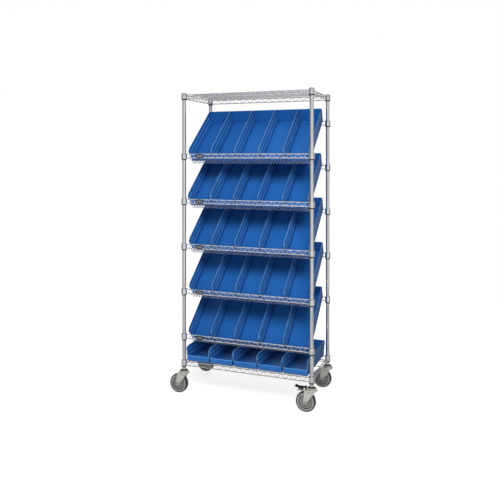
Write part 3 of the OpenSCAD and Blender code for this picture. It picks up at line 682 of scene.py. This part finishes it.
def fork_head():
    """The round head with its ball track, turned."""
    bm = bmesh.new()
    low, edge = CROWN_Z + 0.4, 2.0
    track_in, track_out, track_bank, track_depth = 16.5, 27.5, 1.5, 1.8
    profile = [(KINGPIN_R + FIT, low), (HEAD_R - edge, low)]
    profile += arc((HEAD_R - edge, low + edge), edge, -60, 0, 3)
    profile += arc((HEAD_R - edge, HEAD_TOP - edge), edge, 0, 90, 4)
    profile += [(track_out, HEAD_TOP), (track_out - track_bank, HEAD_TOP - track_depth),
                (track_in + track_bank, HEAD_TOP - track_depth), (track_in, HEAD_TOP),
                (KINGPIN_R + FIT, HEAD_TOP)]
    turned(bm, profile, (0, 0, 0), steps=56)
    return bm


def brake_plate():
    """The braked fork's longer plate with a window for the shoe, and two ears for the pedal's pivot."""
    bm = bmesh.new()
    corner, front, ear_foot = 5.0, -30.0, CROWN_Z + 1
    ends = [(-BRAKE_REACH, FORK_HALF - corner), (-BRAKE_REACH + corner, FORK_HALF), (front, FORK_HALF)]
    points = ends + [(x, -y) for x, y in reversed(ends)]
    slab(bm, [(x, y, CROWN_Z) for x, y in points], UP * FORK_T)
    near = -PIVOT_BACK - WINDOW_BACK
    far = near - WINDOW_L
    for point, normal in ((RIGHT * near, RIGHT), (RIGHT * far, RIGHT), (BACK * WINDOW_HALF, BACK),
                          (-BACK * WINDOW_HALF, BACK)):
        cut(bm, all_of(bm), point, normal)
    bm.normal_update()
    window = [f for f in bm.faces if abs(f.normal.z) > 0.9 and far < f.calc_center_median().x < near
              and abs(f.calc_center_median().y) < WINDOW_HALF]
    bmesh.ops.delete(bm, geom=window, context="FACES")
    bmesh.ops.bridge_loops(bm, edges=[e for e in bm.edges if e.is_boundary])
    for side in (-1, 1):
        ear = arc((-PIVOT_BACK, PIVOT_Z), EAR_R, 0, 180, 12)
        points = [(-PIVOT_BACK + EAR_R, ear_foot)] + ear + [(-PIVOT_BACK - EAR_R, ear_foot)]
        y = side * (FORK_HALF - FORK_T / 2) - FORK_T / 2
        slab(bm, [(x, y, z) for x, z in points], BACK * FORK_T)
    bmesh.ops.recalc_face_normals(bm, faces=bm.faces)
    soften(bm, PLATE_EDGE)
    return bm


def make_fork(corner):
    """The bent sheet with its turned head, and the brake's plate on the front right one."""
    bm = fork_sheet()
    soften(bm, SHEET_EDGE, 2, angle=50)
    add_part(bm, fork_head())
    if corner == "front_right":
        add_part(bm, brake_plate())
    bmesh.ops.translate(bm, verts=bm.verts, vec=post_at(corner))
    piece("stamped_fork_" + corner, bm, [ZINC], "caster_" + corner, ["fork_" + corner], sharp=24)


def make_wheel(corner):
    """A wheel core with stepped rings on both faces and a round-shouldered tread, both turned."""
    bm = bmesh.new()
    centre = post_at(corner, WHEEL_R) - RIGHT * TRAIL
    # One half of each outline, from the bore outwards, as (radius, half width)
    hub = [(5.05, 19), (11, 19), (12, 18.4), (12.6, 17), (15.4, 17), (16, 16.4), (17.2, 9.4)]
    web = [(24, 8.6), (25, 9.6), (27, 9.6), (28, 8.6), (39, 8.6), (40.5, 9.4), (43, 13.8)]
    rim = [(44.2, 14.6), (49, 14.6), (49.6, 14), (51, 14), (51.6, 14.6), (55, 14.6), (55.4, 14.2)]
    shoulder = [(TREAD_IN_R, 15.2), (56.2, 15.8), (58.6, 16), (60.6, 15.2), (62.2, 13.2), (63.1, 10.2),
                (WHEEL_R, 6)]
    for side in (hub + web + rim, shoulder):
        turned(bm, side + [(r, -h) for r, h in reversed(side)], centre, BACK, 80)
    # The tread is dark, the step below the rim is darkened as painted shade, the rim is light, and the rest
    # is the core's grey
    step_r, rim_r = web[-2][0], rim[0][0]
    for face in bm.faces:
        inner = min((v.co - centre).cross(BACK).length for v in face.verts) + 0.01
        if inner > TREAD_IN_R or step_r < inner < rim_r:
            face.material_index = 1
        elif inner > rim_r:
            face.material_index = 2
    piece("ringed_wheel_" + corner, bm, [CORE_GREY, TREAD_AND_PAINTED_SHADE_GREY, RIM_GREY], "wheel_" + corner,
          ["wheel_" + corner])


def make_pedal():
    """Brake pedal with a turned-up, ribbed tip, its steel pivot and its shoe."""
    bm = bmesh.new()
    hub, bend, end = -PIVOT_BACK, -PEDAL_REACH + PEDAL_TIP, -PEDAL_REACH
    # The side outline, as (x, height over the pivot)
    pad = [(hub - 10, 4.6), (bend + 6, 3.4), (bend, 3.5), (bend - 5, 4.6)]
    tip = [(end + 6, PEDAL_LIFT + 4.4), (end + 1.6, PEDAL_LIFT + 3.4), (end, PEDAL_LIFT - 0.5)]
    under = [(bend, 0), (hub - 12, 0), (hub - 5, -4)]
    points = arc((hub, 0), EAR_R, -90, 90, 12) + pad + tip + under
    slab(bm, [(x, -PEDAL_HALF, PIVOT_Z + z) for x, z in points], BACK * 2 * PEDAL_HALF)
    bmesh.ops.recalc_face_normals(bm, faces=bm.faces)
    soften(bm, PEDAL_EDGE, 2, angle=30)
    low, high = [Vector((x, 0, PIVOT_Z + z)) for x, z in (pad[-1], tip[0])]
    ribs = [(low.lerp(high, share), TIP_RIB_R) for share in (0.25, 0.53, 0.8)]
    ribs += [(Vector((hub - back, 0, PIVOT_Z + PAD_RIB_Z)), PAD_RIB_R) for back in (18.0, 28.0, 38.0)]
    rib_reach = BACK * (PEDAL_HALF - RIB_INSET)
    for middle, rib_r in ribs:
        rod(bm, middle - rib_reach, middle + rib_reach, rib_r, 8)
    shoe = bmesh.new()
    shoe_size, shoe_back, shoe_z = Vector((6, 16, 20)), 15.0, 129.0
    middle = Vector((hub - shoe_back, 0, shoe_z + shoe_size.z / 2))
    bmesh.ops.create_cube(shoe, size=1, matrix=Matrix.Translation(middle) @ Matrix.Diagonal((*shoe_size, 1)))
    soften(shoe, SHOE_EDGE)
    add_part(bm, shoe)
    half, head_r = FORK_HALF + 0.8, 2.2
    pivot = [(0, -half), (head_r, -half), (PIVOT_R, -FORK_HALF), (PIVOT_R, FORK_HALF), (head_r, half),
             (0, half)]
    black = len(bm.faces)
    turned(bm, pivot, (hub, 0, PIVOT_Z), BACK, 24, closed=False)
    bm.faces.ensure_lookup_table()
    for face in bm.faces[black:]:
        face.material_index = 1
    bmesh.ops.translate(bm, verts=bm.verts, vec=post_at("front_right"))
    piece("ribbed_brake_pedal", bm, [PEDAL_BLACK, STEEL], "brake_pedal", ["brake_pedal"],
          sharp=24)


def dress_kept_nodes():
    """The axles and the balls in the races keep their solids, in bright steel."""
    for name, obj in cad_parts.items():
        if name.startswith("axle_") or name == "caster_balls":
            obj.data.materials.clear()
            obj.data.materials.append(STEEL)


# Stage

def make_floor():
    """A pale disc that looks white to the camera and keeps the cart's soft shadow."""
    bm = bmesh.new()
    floor_r, start_m, end_m = 3.2, 0.7, 2.6
    under_cart, at_rim, mirror_glow = 0.78, 1.0, 0.12
    bmesh.ops.create_circle(bm, cap_ends=True, segments=96, radius=floor_r)
    mesh = bpy.data.meshes.new("floor")
    bm.to_mesh(mesh)
    bm.free()
    pale = Finish("floor", (0.48, 0.48, 0.48), 0.0, 0.8, 0.1)
    pale.mottle(0.6, 2.0, [(0.3, (0.47, 0.47, 0.47)), (0.7, (0.49, 0.49, 0.49))])
    nodes, links = pale.nodes, pale.links
    pale.bsdf.inputs["Emission Color"].default_value = (1, 1, 1, 1)
    rays = nodes.new("ShaderNodeLightPath")
    seen, glow = nodes.new("ShaderNodeMath"), nodes.new("ShaderNodeMath")
    seen.operation, glow.operation = "MULTIPLY_ADD", "MULTIPLY"
    links.new(rays.outputs["Is Glossy Ray"], seen.inputs[0])
    seen.inputs[1].default_value = mirror_glow
    links.new(rays.outputs["Is Camera Ray"], seen.inputs[2])
    away = nodes.new("ShaderNodeVectorMath")
    away.operation = "LENGTH"
    links.new(pale.coords, away.inputs[0])
    links.new(seen.outputs["Value"], glow.inputs[0])
    links.new(pale.spread(away.outputs["Value"], under_cart, at_rim, start_m, end_m), glow.inputs[1])
    pale.feed("Emission Strength", glow.outputs["Value"])
    mesh.materials.append(pale.mat)
    obj = bpy.data.objects.new("floor", mesh)
    scene.collection.objects.link(obj)


def make_world():
    """White behind the cart, even soft light on it, and bright and dark studio walls in its chrome."""
    world = bpy.data.worlds.new("studio")
    scene.world = world
    world.use_nodes = True
    nodes, links = world.node_tree.nodes, world.node_tree.links
    nodes.clear()
    coords = nodes.new("ShaderNodeTexCoord").outputs["Generated"]
    rays = nodes.new("ShaderNodeLightPath").outputs

    def grey_ramp(fac, stops):
        return colour_ramp(nodes, links, fac, [(place, (level, level, level)) for place, level in stops])

    def background(level):
        node = nodes.new("ShaderNodeBackground")
        node.inputs["Color"].default_value = (1, 1, 1, 1)
        node.inputs["Strength"].default_value = level
        return node

    def choose(ray, no, yes):
        node = nodes.new("ShaderNodeMixShader")
        links.new(rays[ray], node.inputs["Fac"])
        links.new(no, node.inputs[1])
        links.new(yes, node.inputs[2])
        return node.outputs["Shader"]

    around = nodes.new("ShaderNodeTexGradient")
    around.gradient_type = "RADIAL"
    links.new(coords, around.inputs["Vector"])
    # Brightness of the walls once round, from the left by the front, the right and the back
    walls = grey_ramp(around.outputs["Fac"], [
        (0.0, 0.16), (0.045, 0.20), (0.075, 0.60), (0.13, 0.36), (0.205, 0.30), (0.235, 1.0), (0.30, 1.0),
        (0.345, 0.70), (0.375, 0.60), (0.40, 1.0), (0.46, 1.0), (0.50, 0.30), (0.54, 0.06), (0.585, 0.06),
        (0.63, 0.80), (0.72, 0.60), (0.82, 0.70), (0.92, 0.25), (1.0, 0.16)])
    height = nodes.new("ShaderNodeSeparateXYZ")
    links.new(coords, height.inputs["Vector"])
    tilt = nodes.new("ShaderNodeMapRange")
    tilt.inputs["From Min"].default_value = -1
    links.new(height.outputs["Z"], tilt.inputs["Value"])
    fade = grey_ramp(tilt.outputs["Result"], [(0.6, 0.0), (0.7, 0.8), (1.0, 0.8)])
    studio, ceiling = background(1.0), background(0.5)
    links.new(walls, studio.inputs["Color"])
    room = nodes.new("ShaderNodeMixShader")
    links.new(fade, room.inputs["Fac"])
    links.new(studio.outputs["Background"], room.inputs[1])
    links.new(ceiling.outputs["Background"], room.inputs[2])
    even, white = background(0.20), background(1.0)
    lit = choose("Is Glossy Ray", even.outputs["Background"], room.outputs["Shader"])
    out = nodes.new("ShaderNodeOutputWorld")
    links.new(choose("Is Camera Ray", lit, white.outputs["Background"]), out.inputs["Surface"])


def make_light(name, place, target, size, power):
    """A soft lamp that shines from a place on a target, in metres and watts."""
    light = bpy.data.lights.new(name, "AREA")
    light.shape = "RECTANGLE"
    light.size, light.size_y = size
    light.energy = power
    obj = bpy.data.objects.new(name, light)
    obj.visible_glossy = False
    scene.collection.objects.link(obj)
    obj.location = place
    obj.rotation_euler = (Vector(target) - Vector(place)).to_track_quat("-Z", "Y").to_euler()


def make_camera():
    """The photograph's view: level, with the lens shifted down the cart."""
    frame_px, focal_px, horizon_px = 500, 596.43, 158.36
    cam = bpy.data.cameras.new("camera")
    cam.sensor_fit = "HORIZONTAL"
    cam.sensor_width = 36.0
    cam.lens = focal_px / frame_px * cam.sensor_width
    cam.shift_y = -(frame_px / 2 - horizon_px) / frame_px
    cam.clip_end = 200.0
    obj = bpy.data.objects.new("camera", cam)
    scene.collection.objects.link(obj)
    obj.location = (1.39777, -3.84299, 1.58724)
    obj.rotation_euler = (math.pi / 2, 0.0, 0.3601)
    scene.camera = obj


for corner_name in CORNERS:
    make_post(corner_name)
    make_fork(corner_name)
    make_wheel(corner_name)
make_caps()
make_sleeves()
make_shelves()
make_badges()
make_bins()
make_stems()
make_pedal()
dress_kept_nodes()

make_floor()
make_world()
make_light("key", (1.1, -2.5, 2.75), (0.0, 0.0, 0.95), (1.4, 0.7), 101)
make_light("low_fill", (0.8, -4.2, 0.5), (0.0, 0.0, 0.8), (2.4, 0.8), 54)
make_light("left_fill", (-2.8, -2.6, 1.1), (0.0, 0.0, 0.8), (1.6, 1.6), 18)
make_light("back", (-1.5, 3.2, 3.0), (0.0, 0.0, 1.0), (2.0, 2.0), 30)
make_camera()
scene.view_settings.view_transform = "Standard"
